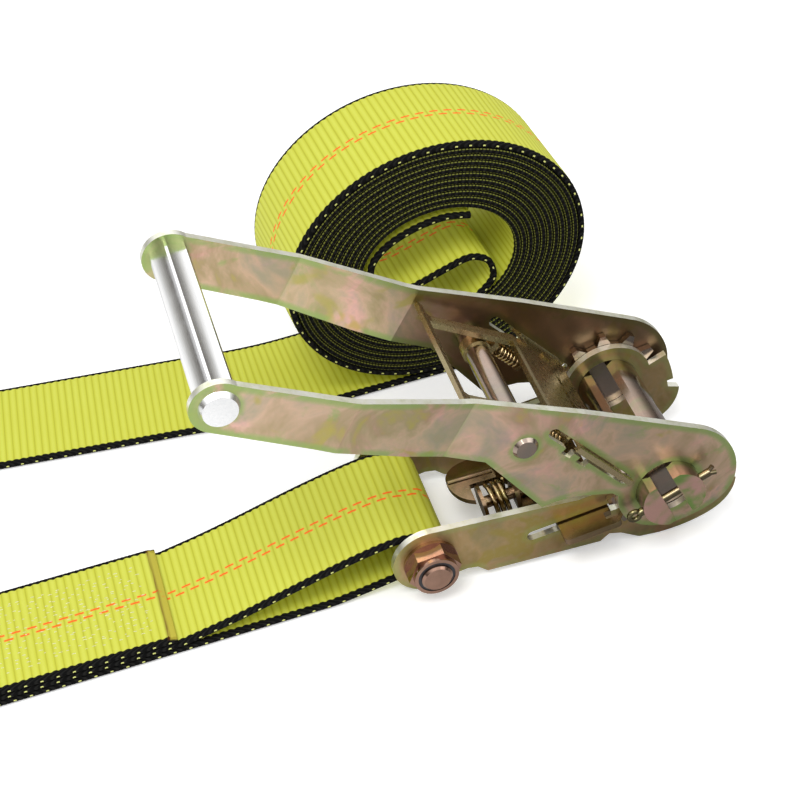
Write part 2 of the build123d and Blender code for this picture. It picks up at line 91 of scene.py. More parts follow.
class Shader:
    """A material under construction: adds nodes and links them by short calls."""

    def __init__(self, name):
        self.material = bpy.data.materials.new(name)
        self.material.use_nodes = True
        self.tree = self.material.node_tree
        self.tree.nodes.clear()
        self.out = self.tree.nodes.new("ShaderNodeOutputMaterial")
        self.body = self.tree.nodes.new("ShaderNodeBsdfPrincipled")
        self.tree.links.new(self.body.outputs[0], self.out.inputs[0])

    def put(self, socket, value):
        """Sets an input to a number or a colour, or links it to another node's output."""
        if isinstance(value, bpy.types.NodeSocket):
            self.tree.links.new(value, socket)
        elif isinstance(value, tuple) and len(value) == 3 and socket.type == "RGBA":
            socket.default_value = (*value, 1.0)
        else:
            socket.default_value = value

    def set(self, **inputs):
        """Sets inputs of the surface shader, with _ for a space in the name."""
        for name, value in inputs.items():
            self.put(self.body.inputs[name.replace("_", " ")], value)

    def coords(self, scale=(1, 1, 1), turn=(0, 0, 0)):
        source = self.tree.nodes.new("ShaderNodeTexCoord")
        mapping = self.tree.nodes.new("ShaderNodeMapping")
        mapping.inputs["Scale"].default_value = scale
        mapping.inputs["Rotation"].default_value = turn
        self.tree.links.new(source.outputs["Object"], mapping.inputs["Vector"])
        return mapping.outputs["Vector"]

    def noise(self, vector, scale, detail=3.0, distortion=0.0, rough=0.5, seed=0.0):
        node = self.tree.nodes.new("ShaderNodeTexNoise")
        node.noise_dimensions = "4D"
        self.put(node.inputs["Vector"], vector)
        node.inputs["W"].default_value = seed
        node.inputs["Scale"].default_value = scale
        node.inputs["Detail"].default_value = detail
        node.inputs["Roughness"].default_value = rough
        node.inputs["Distortion"].default_value = distortion
        return node.outputs["Fac"]

    def calc(self, kind, a, b=0.0, c=0.0):
        node = self.tree.nodes.new("ShaderNodeMath")
        node.operation = kind
        for socket, value in zip(node.inputs, (a, b, c)):
            self.put(socket, value)
        return node.outputs[0]

    def ramp(self, value, stops, kind="LINEAR"):
        """A colour ramp; stops are (place, colour or grey)."""
        node = self.tree.nodes.new("ShaderNodeValToRGB")
        node.color_ramp.interpolation = kind
        elements = node.color_ramp.elements
        while len(elements) < len(stops):
            elements.new(0.5)
        for element, (place, colour) in zip(elements, stops):
            element.position = place
            if isinstance(colour, (int, float)):
                colour = (colour, colour, colour)
            element.color = (*colour, 1.0)
        self.put(node.inputs[0], value)
        return node.outputs[0]

    def mix(self, share, a, b, kind="MIX"):
        node = self.tree.nodes.new("ShaderNodeMix")
        node.data_type = "RGBA"
        node.blend_type = kind
        self.put(node.inputs[0], share)
        self.put(node.inputs[6], a)
        self.put(node.inputs[7], b)
        return node.outputs[2]

    def step(self, value, low, high):
        """0 below low, 1 above high, smooth between."""
        node = self.tree.nodes.new("ShaderNodeMapRange")
        node.interpolation_type = "SMOOTHSTEP"
        self.put(node.inputs[0], value)
        node.inputs[1].default_value = low
        node.inputs[2].default_value = high
        return node.outputs[0]

    def attribute(self, name):
        node = self.tree.nodes.new("ShaderNodeAttribute")
        node.attribute_name = name
        return node.outputs["Fac"]

    def bump(self, height, distance, strength=1.0):
        node = self.tree.nodes.new("ShaderNodeBump")
        node.inputs["Strength"].default_value = strength
        node.inputs["Distance"].default_value = distance
        self.put(node.inputs["Height"], height)
        self.tree.links.new(node.outputs[0], self.body.inputs["Normal"])

    def face_on(self):
        """1 on faces that look along the parts' width, 0 on their cut edges."""
        source = self.tree.nodes.new("ShaderNodeTexCoord")
        split = self.tree.nodes.new("ShaderNodeSeparateXYZ")
        self.tree.links.new(source.outputs["Normal"], split.inputs[0])
        return self.step(self.calc("ABSOLUTE", split.outputs[1]), 0.55, 0.8)

    def facing_near(self):
        """1 on faces that look toward -Y, 0 elsewhere."""
        source = self.tree.nodes.new("ShaderNodeTexCoord")
        split = self.tree.nodes.new("ShaderNodeSeparateXYZ")
        self.tree.links.new(source.outputs["Normal"], split.inputs[0])
        return self.step(split.outputs[1], -0.4, -0.8)

    def reach_in(self):
        """1 near the ratchet, falling to 0 half-way toward the grip."""
        split = self.tree.nodes.new("ShaderNodeSeparateXYZ")
        self.put(split.inputs[0], self.coords())
        return self.step(split.outputs[0], -105.0 * MM, -45.0 * MM)

    def rim(self, distance):
        """1 near an outline of a part, 0 in the middle of its faces."""
        node = self.tree.nodes.new("ShaderNodeAmbientOcclusion")
        node.inside = True
        node.only_local = True
        node.samples = 8
        node.inputs["Distance"].default_value = distance
        return self.step(self.calc("SUBTRACT", 1.0, node.outputs["AO"]), 0.08, 0.5)


# ---------------------------------------------------------------- materials

ROSE = (0.58, 0.35, 0.26)
PINK = (0.88, 0.53, 0.45)
MAUVE = (0.56, 0.41, 0.37)
GOLD = (0.64, 0.46, 0.13)
OLIVE = (0.40, 0.36, 0.14)
GREEN = (0.33, 0.50, 0.15)
CREAM = (0.94, 0.94, 0.80)
BROWN = (0.13, 0.075, 0.035)
DULL = (0.74, 0.66, 0.50)


def zinc_plate(name, golden, shaded=0.0):
    """Yellow-passivated zinc on the stamped plates: a rosy film with gold and green clouds.

    golden dulls the film from rose toward gold and olive; shaded paints shade, mixing the film
    toward brown on the face that looks toward the other arm, near the ratchet."""
    m = Shader(name)
    at = m.coords()
    broad = m.noise(at, 30.0, 4.0, 1.4, 0.58, 1.0)
    clouds = [(0.26, GREEN), (0.34, GOLD), (0.41, ROSE), (0.52, PINK), (0.64, MAUVE), (0.76, ROSE)]
    film = m.ramp(broad, clouds)
    cloud = m.noise(at, 46.0, 4.0, 1.0, 0.6, 4.0)
    film = m.mix(m.calc("MULTIPLY", m.step(cloud, 0.60, 0.70), 0.6), film, GREEN)
    haze = m.noise(at, 40.0, 3.0, 0.8, 0.5, 7.0)
    film = m.mix(m.calc("MULTIPLY", m.step(haze, 0.60, 0.66), 0.8), film, GOLD)
    film = m.mix(golden, film, OLIVE)
    film = m.mix(m.calc("MINIMUM", golden * 2.0, 1.0), film, DULL, "MULTIPLY")
    speckle = m.noise(at, 380.0, 3.0, 0.0, 0.6, 2.0)
    film = m.mix(m.calc("MULTIPLY", m.step(speckle, 0.45, 0.8), 0.22), film, MAUVE)
    edge = m.calc("MULTIPLY", m.rim(3.2 * MM), m.step(cloud, 0.30, 0.52))
    film = m.mix(m.calc("MULTIPLY", edge, 0.85 - golden), film, GREEN)
    if shaded:
        # Painted shade: the face toward the other arm is darkened toward brown near the ratchet,
        # standing in for the shade between the arms.
        inner = m.calc("MULTIPLY", m.facing_near(), m.reach_in())
        film = m.mix(m.calc("MULTIPLY", inner, shaded), film, BROWN)
    bright = [(0.3, (0.76, 0.77, 0.56)), (0.5, CREAM), (0.7, (1.0, 1.0, 0.93))]
    cut = m.ramp(m.noise(at, 200.0, 3.0, 0.0, 0.6, 3.0), bright)
    m.set(Base_Color=m.mix(m.face_on(), cut, film), Metallic=0.92)
    m.set(Roughness=m.ramp(cloud, [(0.3, 0.28), (0.7, 0.38)]))
    ripple = m.calc("ADD", m.noise(at, 60.0, 2.0, 0.0, 0.5, 5.0), m.calc("MULTIPLY", speckle, 0.10))
    m.bump(ripple, 0.2 * MM, 0.45)
    return m.material


def zinc_dark(name, tint, rough=0.2, ends=None):
    """The same plating on inner parts, darker and glossier, in a given tint.

    ends is the paler film on faces that look along the parts' width."""
    m = Shader(name)
    at = m.coords()
    broad = m.noise(at, 60.0, 3.0, 0.8, 0.5, 9.0)
    film = m.ramp(broad, [(0.3, OLIVE), (0.45, tint), (0.6, ROSE), (0.75, GREEN)])
    film = m.mix(0.7, film, tint)
    fine = m.noise(at, 500.0, 3.0, 0.0, 0.6, 6.0)
    film = m.mix(m.calc("MULTIPLY", fine, 0.16), film, BROWN)
    if ends:
        pale = m.mix(m.step(broad, 0.42, 0.58), ends, GREEN)
        film = m.mix(m.face_on(), film, pale)
    m.set(Base_Color=film, Metallic=1.0)
    m.set(Roughness=m.ramp(fine, [(0.2, rough - 0.04), (0.8, rough + 0.07)]))
    m.bump(fine, 0.03 * MM, 0.12)
    return m.material


def aluminium():
    """Extruded aluminium: fine drawn lines along the grip, mill-bright."""
    m = Shader("aluminium")
    drawn = m.noise(m.coords((1, 0.02, 1)), 900.0, 3.0, 0.0, 0.6, 3.0)
    cloud = m.noise(m.coords(), 60.0, 3.0, 0.4, 0.5, 8.0)
    shade = m.ramp(drawn, [(0.3, (0.90, 0.91, 0.92)), (0.7, (1.0, 1.0, 1.0))])
    colour = m.mix(m.calc("MULTIPLY", cloud, 0.10), shade, (0.78, 0.79, 0.80))
    m.set(Base_Color=colour, Metallic=1.0)
    m.set(Roughness=m.ramp(cloud, [(0.3, 0.16), (0.7, 0.26)]))
    m.bump(drawn, 0.03 * MM, 0.5)
    return m.material


def insert_plastic():
    """Dark nylon of the nut's locking ring."""
    m = Shader("insert_plastic")
    grain = m.noise(m.coords(), 1500.0, 3.0)
    m.set(Base_Color=m.ramp(grain, [(0.3, (0.015, 0.016, 0.022)), (0.7, (0.03, 0.032, 0.04))]))
    m.set(Roughness=m.ramp(grain, [(0.3, 0.4), (0.7, 0.55)]))
    m.bump(grain, 0.03 * MM, 0.5)
    return m.material


def vinyl():
    """Soft black vinyl of the hook sleeves."""
    m = Shader("vinyl")
    grain = m.noise(m.coords(), 700.0, 4.0)
    m.set(Base_Color=m.ramp(grain, [(0.3, (0.012, 0.012, 0.013)), (0.7, (0.035, 0.034, 0.033))]))
    m.set(Roughness=m.ramp(grain, [(0.3, 0.36), (0.7, 0.52)]))
    m.bump(grain, 0.08 * MM, 0.6)
    return m.material


def webbing():
    """Woven polyester: yellow ribs with painted shade in their valleys and painted highlight on their
    crests, black selvedges, and a marker of orange dashes.
    """
    m = Shader("webbing")
    along = m.attribute("along")
    across = m.attribute("across")
    lift = m.attribute("lift")
    at = m.coords()
    turns = m.calc("MULTIPLY", along, 2 * math.pi / RIB_PITCH)
    rib = m.calc("ABSOLUTE", m.calc("SINE", m.calc("MULTIPLY", turns, 0.5)))
    yarn = m.calc("SINE", m.calc("MULTIPLY", across, 2 * math.pi / (0.62 * MM)))
    cloud = m.noise(at, 55.0, 3.0, 0.0, 0.5, 2.0)
    # Painted light and shade: the yellow darkens in the rib valleys and brightens on the crests, also
    # on wound layers where the mesh has no ribs.
    rib_light_and_shade = [(0.0, (0.42, 0.42, 0.022)), (0.38, (0.57, 0.60, 0.048)), (1.0, (0.65, 0.69, 0.095))]
    yellow = m.ramp(rib, rib_light_and_shade)
    yellow = m.mix(m.calc("MULTIPLY", cloud, 0.35), yellow, (0.55, 0.53, 0.022))
    # Painted highlight: the yarn crests are mixed a little toward a paler yellow.
    yellow = m.mix(m.calc("MULTIPLY", m.step(yarn, 0.2, 1.0), 0.10), yellow, (0.80, 0.82, 0.25))

    # The marker: two staggered rows of dashes beside mid-width, on one face only.
    colour = yellow
    seen = m.calc("MULTIPLY", m.attribute("marked"), m.calc("LESS_THAN", lift, -0.5))
    for row, shift in ((1.35, 0.0), (-1.35, 0.5)):
        beat = m.calc("FRACT", m.calc("ADD", m.calc("DIVIDE", along, DOT_PITCH), shift))
        on = m.step(m.calc("ABSOLUTE", m.calc("SUBTRACT", beat, 0.5)), 0.34, 0.25)
        off = m.calc("ABSOLUTE", m.calc("SUBTRACT", across, row * MM))
        on = m.calc("MULTIPLY", on, m.step(off, 0.62 * MM, 0.32 * MM))
        share = m.calc("MULTIPLY", on, m.calc("MULTIPLY", seen, 0.92))
        colour = m.mix(share, colour, (1.0, 0.12, 0.008))

    # The selvedge: black yarns whose inner border steps in and out with the ribs.
    reach = m.calc("ABSOLUTE", across)
    zigzag = m.calc("MULTIPLY", m.calc("SINE", turns), 0.25 * MM)
    border = m.calc("SUBTRACT", WEB_HALF - 1.9 * MM, zigzag)
    black = m.step(m.calc("SUBTRACT", reach, border), -0.12 * MM, 0.12 * MM)
    slant = m.calc("MULTIPLY", across, 2 * math.pi / (1.1 * MM))
    twill = m.calc("SINE", m.calc("ADD", turns, slant))
    inky = m.mix(m.step(twill, -0.2, 0.9), (0.004, 0.004, 0.004), (0.013, 0.013, 0.012))
    colour = m.mix(black, colour, inky)

    # On the strap's edge a yellow binding thread shows as small dots on open runs, and
    # as an olive line along each corner between wound layers.
    edge = m.calc("GREATER_THAN", reach, WEB_HALF - 0.5 * MM)
    size = m.calc("ABSOLUTE", lift)
    tick = m.calc("SINE", m.calc("MULTIPLY", along, 2 * math.pi / (1.5 * MM)))
    line = m.calc("MULTIPLY", m.step(size, 0.52, 0.66), m.step(tick, -1.1, 0.2))
    wound = m.calc("SUBTRACT", 1.0, m.attribute("dots"))
    line = m.calc("MULTIPLY", m.calc("MULTIPLY", line, edge), wound)
    colour = m.mix(line, colour, (0.18, 0.19, 0.035))
    beat = m.calc("FRACT", m.calc("DIVIDE", along, DOT_PITCH))
    dot = m.step(m.calc("ABSOLUTE", m.calc("SUBTRACT", beat, 0.5)), 0.11, 0.07)
    dot = m.calc("MULTIPLY", m.calc("MULTIPLY", dot, m.step(size, 0.30, 0.18)), edge)
    dot = m.calc("MULTIPLY", dot, m.attribute("dots"))
    colour = m.mix(dot, colour, (0.66, 0.68, 0.22))

    # A cut end is sealed by melting: a smooth golden slope behind a browned ridge.
    colour = m.mix(m.calc("MULTIPLY", m.attribute("seal"), 0.85), colour, (0.50, 0.42, 0.05))
    colour = m.mix(m.attribute("burn"), colour, (0.15, 0.055, 0.012))
    m.set(Base_Color=colour, Roughness=m.ramp(black, [(0.0, 0.60), (1.0, 0.80)]))
    m.set(Specular_IOR_Level=m.ramp(black, [(0.0, 0.3), (1.0, 0.06)]))
    dark_weave = m.calc("MULTIPLY", twill, m.calc("MULTIPLY", black, 1.2))
    weave = m.calc("ADD", m.calc("MULTIPLY", yarn, 0.5), dark_weave)
    m.bump(weave, 0.06 * MM, 0.6)
    return m.material


def thread():
    """Pale sewing thread with a twisted lay."""
    m = Shader("thread")
    twist = m.noise(m.coords((1, 1, 1), (0.3, 0.2, 0.8)), 2200.0, 2.0)
    m.set(Base_Color=m.ramp(twist, [(0.3, (0.55, 0.56, 0.25)), (0.7, (0.84, 0.84, 0.62))]))
    m.set(Roughness=0.6, Sheen_Weight=0.2)
    m.bump(twist, 0.05 * MM, 0.6)
    return m.material


# ---------------------------------------------------------------- strap paths


def hermite(a, ta, b, tb, count=40):
    """Points of a smooth curve from a to b that leaves along ta and arrives along tb."""
    a, ta, b, tb = map(Vector, (a, ta, b, tb))
    out = []
    for i in range(count + 1):
        t = i / count
        h0 = 2 * t**3 - 3 * t**2 + 1
        h1 = t**3 - 2 * t**2 + t
        h2 = -2 * t**3 + 3 * t**2
        h3 = t**3 - t**2
        out.append(a * h0 + ta * h1 + b * h2 + tb * h3)
    return out


def through(points):
    """A smooth curve through points, its slope at each set by the two beside it."""
    points = [Vector(p) for p in points]
    slopes = []
    for i, p in enumerate(points):
        before = points[max(0, i - 1)]
        after = points[min(len(points) - 1, i + 1)]
        slopes.append((after - before) / (2 if 0 < i < len(points) - 1 else 1))
    out = []
    for i in range(len(points) - 1):
        out += hermite(points[i], slopes[i], points[i + 1], slopes[i + 1], 12)[:-1]
    return out + [points[-1]]


def arc(centre, radius, start, end, count=40):
    """Points of an arc, its angles in degrees from +X toward +Z."""
    out = []
    for i in range(count + 1):
        a = math.radians(start + (end - start) * i / count)
        out.append(Vector((centre[0] + radius * math.cos(a), centre[1] + radius * math.sin(a))))
    return out


def resample(points, pitch):
    """The same curve with evenly spaced points."""
    clean = [points[0]]
    for p in points[1:]:
        if (p - clean[-1]).length > 1e-7:
            clean.append(p)
    total = sum((b - a).length for a, b in zip(clean, clean[1:]))
    count = max(2, round(total / pitch))
    gap = total / count
    out = [clean[0]]
    walked, due = 0.0, gap
    for a, b in zip(clean, clean[1:]):
        length = (b - a).length
        while due <= walked + length + 1e-12 and len(out) < count:
            out.append(a.lerp(b, (due - walked) / length))
            due += gap
        walked += length
    out.append(clean[-1])
    return out


# ---------------------------------------------------------------- strap meshes


def strap_profile():
    """The webbing's cross-section: (across, lift, rib share) round its outline."""
    top = []
    for w in (-0.955, -0.925, -0.75, -0.5, -0.25, 0, 0.25, 0.5, 0.75, 0.925, 0.955):
        top.append((w, 1.0, 0.0 if abs(w) > 0.94 else 1.0))
    side = [(0.985, 0.82, 0), (1.0, 0.35, 0), (1.0, 0.0, 0), (1.0, -0.35, 0), (0.985, -0.82, 0)]
    bottom = [(-w, -lift, ribbed) for w, lift, ribbed in top]
    other = [(-w, -lift, ribbed) for w, lift, ribbed in side]
    return top + side + bottom + other


def strap_mesh(name, rows, marked, sealed, material):
    """A woven strap along rows of (centre, across, normal, distance, openness), closed at
    both ends. Openness is 1 on open runs and 0 between wound layers.

    The marker shows on the side the normals point away from. sealed tells whether the
    first end is melted into a short slope."""
    ring = strap_profile()
    size = len(ring)
    verts, faces = [], []
    data = {"along": [], "across": [], "lift": [], "burn": [], "seal": [], "dots": [], "marked": []}
    last = len(rows) - 1
    for i, (centre, across, normal, s, ribs) in enumerate(rows):
        wave = abs(math.sin(math.pi * s / RIB_PITCH))
        rib = (wave - 0.75) * RIB_HEIGHT * ribs
        gone = s - rows[0][3] if sealed else 1.0
        slope = max(0.0, 1.0 - gone / SEAL)
        ridge = max(0.0, 1.0 - abs(gone - SEAL - 0.2 * MM) / (0.8 * MM))
        for w, lift, ribbed in ring:
            out = WEB_HALF * w
            if abs(w) > 0.98:
                out += math.copysign(0.12 * MM * math.sin(2 * math.pi * s / RIB_PITCH), w) * ribs
            up = WEB_THICK / 2 * lift + math.copysign(rib * ribbed * (1.0 - slope), lift)
            if lift < 0:
                up *= 1.0 - 0.95 * slope
            point = centre + across * out + normal * up
            if ridge > 0 and abs(w) < 0.96:
                knob = 0.34 * MM * ridge
                point = point + Vector([rng.uniform(-knob, knob) for _ in range(3)])
            verts.append(point)
            data["along"].append(s)
            data["across"].append(out)
            data["lift"].append(lift)
            data["burn"].append(ridge * rng.uniform(0.5, 1.0) if abs(w) < 0.96 else 0.0)
            data["seal"].append(1.0 if slope > 0.05 and abs(w) < 0.96 else 0.0)
            data["dots"].append(ribs)
            data["marked"].append(1.0 if marked else 0.0)
    for i in range(last):
        for j in range(size):
            k = (j + 1) % size
            faces.append((i * size + j, i * size + k, (i + 1) * size + k, (i + 1) * size + j))
    faces.append(tuple(reversed(range(size))))
    faces.append(tuple(last * size + j for j in range(size)))
    piece = closed_mesh(name, verts, faces, material)
    for key, values in data.items():
        piece.data.attributes.new(key, "FLOAT", "POINT").data.foreach_set("value", values)
    return piece


def closed_mesh(name, verts, faces, material):
    """A smooth-shaded object from points and faces, its faces turned outward."""
    mesh = bpy.data.meshes.new(name)
    mesh.from_pydata([tuple(v) for v in verts], [], faces)
    mesh.polygons.foreach_set("use_smooth", [True] * len(mesh.polygons))
    mesh.materials.append(material)
    piece = bpy.data.objects.new(name, mesh)
    bpy.context.scene.collection.objects.link(piece)
    flip_outward(piece)
    return piece


def flip_outward(piece):
    """Turns every face of a closed mesh outward."""
    work = bmesh.new()
    work.from_mesh(piece.data)
    bmesh.ops.recalc_face_normals(work, faces=work.faces)
    work.to_mesh(piece.data)
    work.free()


def rows_from(points, place, fine, start=0.0):
    """Rows for strap_mesh from a path's evenly spaced (x, z) points; place puts a path
    point, a distance across and a lift in the world."""
    rows = []
    s = start
    for i, p in enumerate(points):
        before = points[max(0, i - 1)]
        after = points[min(len(points) - 1, i + 1)]
        run = (after - before).normalized()
        lift = Vector((-run.y, run.x))
        if i:
            s += (p - points[i - 1]).length
        centre = place(p, 0.0)
        across = (place(p, 1.0) - centre).normalized()
        normal = place(p + lift * MM, 0.0) - centre
        normal = (normal - across * normal.dot(across)).normalized()
        rows.append((centre, across, normal, s, 1.0 if fine else 0.0))
    return rows


# ---------------------------------------------------------------- the two straps

eye_x = -296.0 * MM
eye_r = 6.35 * MM
bolt_low, bolt_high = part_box("anchor_bolt")
bolt_x = (bolt_low.x + bolt_high.x) / 2
bolt_z = (bolt_low.z + bolt_high.z) / 2
bolt_wrap = 6.25 * MM + WEB_THICK / 2


def short_place(p, w):
    """Puts a point of the short strap's path in the world, skewed about the bolt."""
    return Vector((p.x, w + (p.x - bolt_x) * SKEW, p.y))


def eye_path(layers):
    """The sewn end's path: from over the lowest layers, round the hook's bar, to the floor."""
    eye_z = floor_z + eye_r + WEB_THICK / 2
    top_z = floor_z + (layers - 0.5) * LAYER
    over = hermite(
        (eye_x + 27 * MM, top_z), (-14 * MM, 0.0), (eye_x, eye_z + eye_r), (-16 * MM, 0.0)
    )
    turn = arc((eye_x, eye_z), eye_r, 90, 270)
    return over + turn[1:]


def short_strap(material):
    """The sewn short strap: flap, eye, base, loop round the bolt, and the layer between."""
    sewn_x = -190.0 * MM
    flap_z = floor_z + 2.5 * LAYER
    base_z = floor_z + 0.5 * LAYER
    path = [Vector((sewn_x, flap_z))] + eye_path(3)
    path += [Vector((-140 * MM, base_z))]
    path += hermite(
        (-132 * MM, base_z), (22 * MM, 0.0), (bolt_x, bolt_z - bolt_wrap), (16 * MM, 2 * MM)
    )
    path += arc((bolt_x, bolt_z), bolt_wrap, -90, 90)[1:]
    path += through(
        [
            (bolt_x, bolt_z + bolt_wrap),
            (-104 * MM, floor_z + 23.9 * MM),
            (-128 * MM, floor_z + 19.2 * MM),
            (-165 * MM, floor_z + 9.2 * MM),
            (-188 * MM, floor_z + 1.5 * LAYER),
        ]
    )[1:]
    path += [Vector((-262 * MM, floor_z + 1.5 * LAYER))]
    points = resample(path, RIB_PITCH / ROWS_PER_RIB)
    rows = rows_from(points, short_place, True)
    return strap_mesh("short_strap_woven", rows, True, True, material)


roll_low, roll_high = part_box("long_strap_roll")
ROLL_YAW = math.radians(3.8)
TAIL_YAW = math.radians(-3.9)
roll_mid = (roll_low + roll_high) / 2
ROLL_HALF_W = 66.0 * MM
ROLL_HALF_H = (roll_high.z - roll_low.z) / 2
tail_anchor = Vector((-106.0 * MM, 107.4 * MM, 0.0))


def long_place(p, w):
    """Puts a point of the long strap's path, drawn about the roll's middle, in the world.

    The roll stands at its own yaw. Left of it the strap bends into the tail's line."""
    roll_dir = Vector((math.cos(ROLL_YAW), math.sin(ROLL_YAW), 0.0))
    roll_side = Vector((-math.sin(ROLL_YAW), math.cos(ROLL_YAW), 0.0))
    tail_dir = Vector((math.cos(TAIL_YAW), math.sin(TAIL_YAW), 0.0))
    tail_side = Vector((-math.sin(TAIL_YAW), math.cos(TAIL_YAW), 0.0))
    on_roll = roll_mid + roll_dir * p.x + roll_side * w
    reach = p.x + (roll_mid.x - tail_anchor.x)
    on_tail = tail_anchor + tail_dir * reach + tail_side * w
    share = min(1.0, max(0.0, (-p.x - 40 * MM) / (70 * MM)))
    low = p.y < -50 * MM or p.x < -1.2 * ROLL_HALF_W
    share = share * share * (3 - 2 * share) if low else 0.0
    point = on_roll.lerp(on_tail, share)
    return Vector((point.x, point.y, roll_mid.z + p.y))


TURNS = 11.06
PITCH_W = 2.89 * MM
PITCH_H = 2.78 * MM


def roll_point(turn):
    """A point of the winding after so many turns from the bottom, going inward."""
    a = math.radians(360.0 * turn - 90.0)
    wide = ROLL_HALF_W - LAYER / 2 - PITCH_W * (turn - 0.25)
    high = ROLL_HALF_H - LAYER / 2 - PITCH_H * turn
    x = wide * math.cos(a)
    z = high * math.sin(a) + 0.7 * MM * (1 + math.sin(a))
    return Vector((x, z))


def long_strap(material):
    """The long strap in three runs: the tail with the roll's outside, the windings, the core."""
    tail_end = -247.0 * MM
    shift = roll_mid.x
    floor_line = -ROLL_HALF_H + LAYER / 2
    lowered = Vector((-shift, -roll_mid.z))
    tail = [Vector((tail_end, floor_z + 1.5 * LAYER)) + lowered]
    tail += [p + lowered for p in eye_path(2)]
    tail += [Vector((-60 * MM, floor_line))]
    outer = [roll_point(i / 180) for i in range(181)]
    first = resample(tail + outer, RIB_PITCH / ROWS_PER_RIB)
    rows = rows_from(first, long_place, True)
    inner = [roll_point(1 + i / 110) for i in range(1, round((TURNS - 1) * 110) + 1)]
    wound = resample([first[-1]] + inner, 3.0 * MM)
    rows += rows_from(wound, long_place, False, rows[-1][3])[1:]
    end = wound[-1]
    core = [end]
    for x, z in (
        (18.5, -20.4), (24.6, -13.4), (22.6, -4.6), (14.5, -0.4), (4.0, -3.0), (-6.0, -6.4),
        (-16.0, -9.0), (-24.2, -7.4), (-28.6, 0.0), (-27.6, 9.0), (-20.5, 16.2), (-8.5, 21.2),
        (4.0, 22.9), (15.0, 21.0),
    ):
        core.append(Vector((x * MM, z * MM)))
    curl = resample(through(core), RIB_PITCH / ROWS_PER_RIB)
    rows += rows_from(curl, long_place, True, rows[-1][3])[1:]
    return strap_mesh("long_strap_woven", rows, True, True, material)


def stitches(material):
    """Short pale threads sewn along the short strap's flap, lying in its ribs."""
    verts, faces = [], []
    top = floor_z + 2.5 * LAYER + WEB_THICK / 2
    sides, steps = 6, 6
    for lane in range(-8, 9):
        x = -194.0 * MM - rng.uniform(0, 3) * MM
        while x > -266.0 * MM:
            x -= rng.uniform(2.2, 6.6) * MM
            half = rng.uniform(0.55, 1.15) * MM
            y = (lane * 2.1 + rng.uniform(-0.9, 0.9)) * MM + (x - bolt_x) * SKEW
            base = len(verts)
            for k in range(steps + 1):
                t = k / steps
                sink = (0.34 * math.sin(math.pi * t) - 0.22) * MM
                mid = Vector((x + (2 * t - 1) * half, y, top + sink))
                for q in range(sides):
                    a = 2 * math.pi * q / sides
                    verts.append(mid + Vector((0.0, math.cos(a), math.sin(a))) * 0.17 * MM)
            for k in range(steps):
                for q in range(sides):
                    n = (q + 1) % sides
                    low, high = base + k * sides, base + (k + 1) * sides
                    faces.append((low + q, low + n, high + n, high + q))
            faces.append(tuple(base + q for q in reversed(range(sides))))
            faces.append(tuple(base + steps * sides + q for q in range(sides)))
    return closed_mesh("short_strap_stitches", verts, faces, material)


# ---------------------------------------------------------------- metal parts


def finish_metal():
    """Gives each shown CAD part its finish."""
    arm = zinc_plate("zinc_arm", 0.0)
    # The far arm gets painted shade on its inner face near the ratchet.
    arm_far = zinc_plate("zinc_arm_far", 0.0, 0.85)
    side = zinc_plate("zinc_side", 0.45)
    shaft = zinc_dark("zinc_shaft", (0.34, 0.29, 0.25), 0.16)
    spindle = zinc_dark("zinc_spindle", (0.30, 0.25, 0.21), 0.16, PINK)
    pawl = zinc_dark("zinc_pawl", (0.56, 0.48, 0.26), 0.26)
    lock = zinc_dark("zinc_lock", (0.27, 0.20, 0.11), 0.22)
    copper = zinc_dark("zinc_copper", (0.33, 0.20, 0.15), 0.16)
    pin = zinc_dark("zinc_pin", (0.16, 0.14, 0.08), 0.2)
    spring = zinc_dark("zinc_spring", (0.42, 0.34, 0.16), 0.18)
    hooks = zinc_dark("zinc_hook", (0.42, 0.34, 0.18), 0.24)
    grip = aluminium()
    black = insert_plastic()
    sleeve = vinyl()
    looks = {
        arm: ("arm_near",),
        arm_far: ("arm_far",),
        side: ("side_plate_near", "side_plate_far"),
        pawl: ("drive_pawl", "spring_perch_near", "spring_perch_far"),
        lock: ("spring_bar", "lock_plate"),
        shaft: ("handle_rod", "wheel_near", "wheel_far"),
        spindle: ("spindle_half_lower", "spindle_half_upper"),
        pin: ("cotter_near", "cotter_far"),
        copper: ("anchor_bolt", "anchor_nut"),
        black: ("nut_insert",),
        spring: ("lock_spring", "drive_spring_near", "drive_spring_far"),
        grip: ("handle_grip",),
        hooks: ("short_hook", "long_hook"),
        sleeve: ("short_hook_sleeves", "long_hook_sleeves"),
    }
    for look, nodes in looks.items():
        for node in nodes:
            part = frame["nodes"][node]
            if not part.material_slots:
                part.data.materials.append(look)
            for slot in part.material_slots:
                slot.material = look


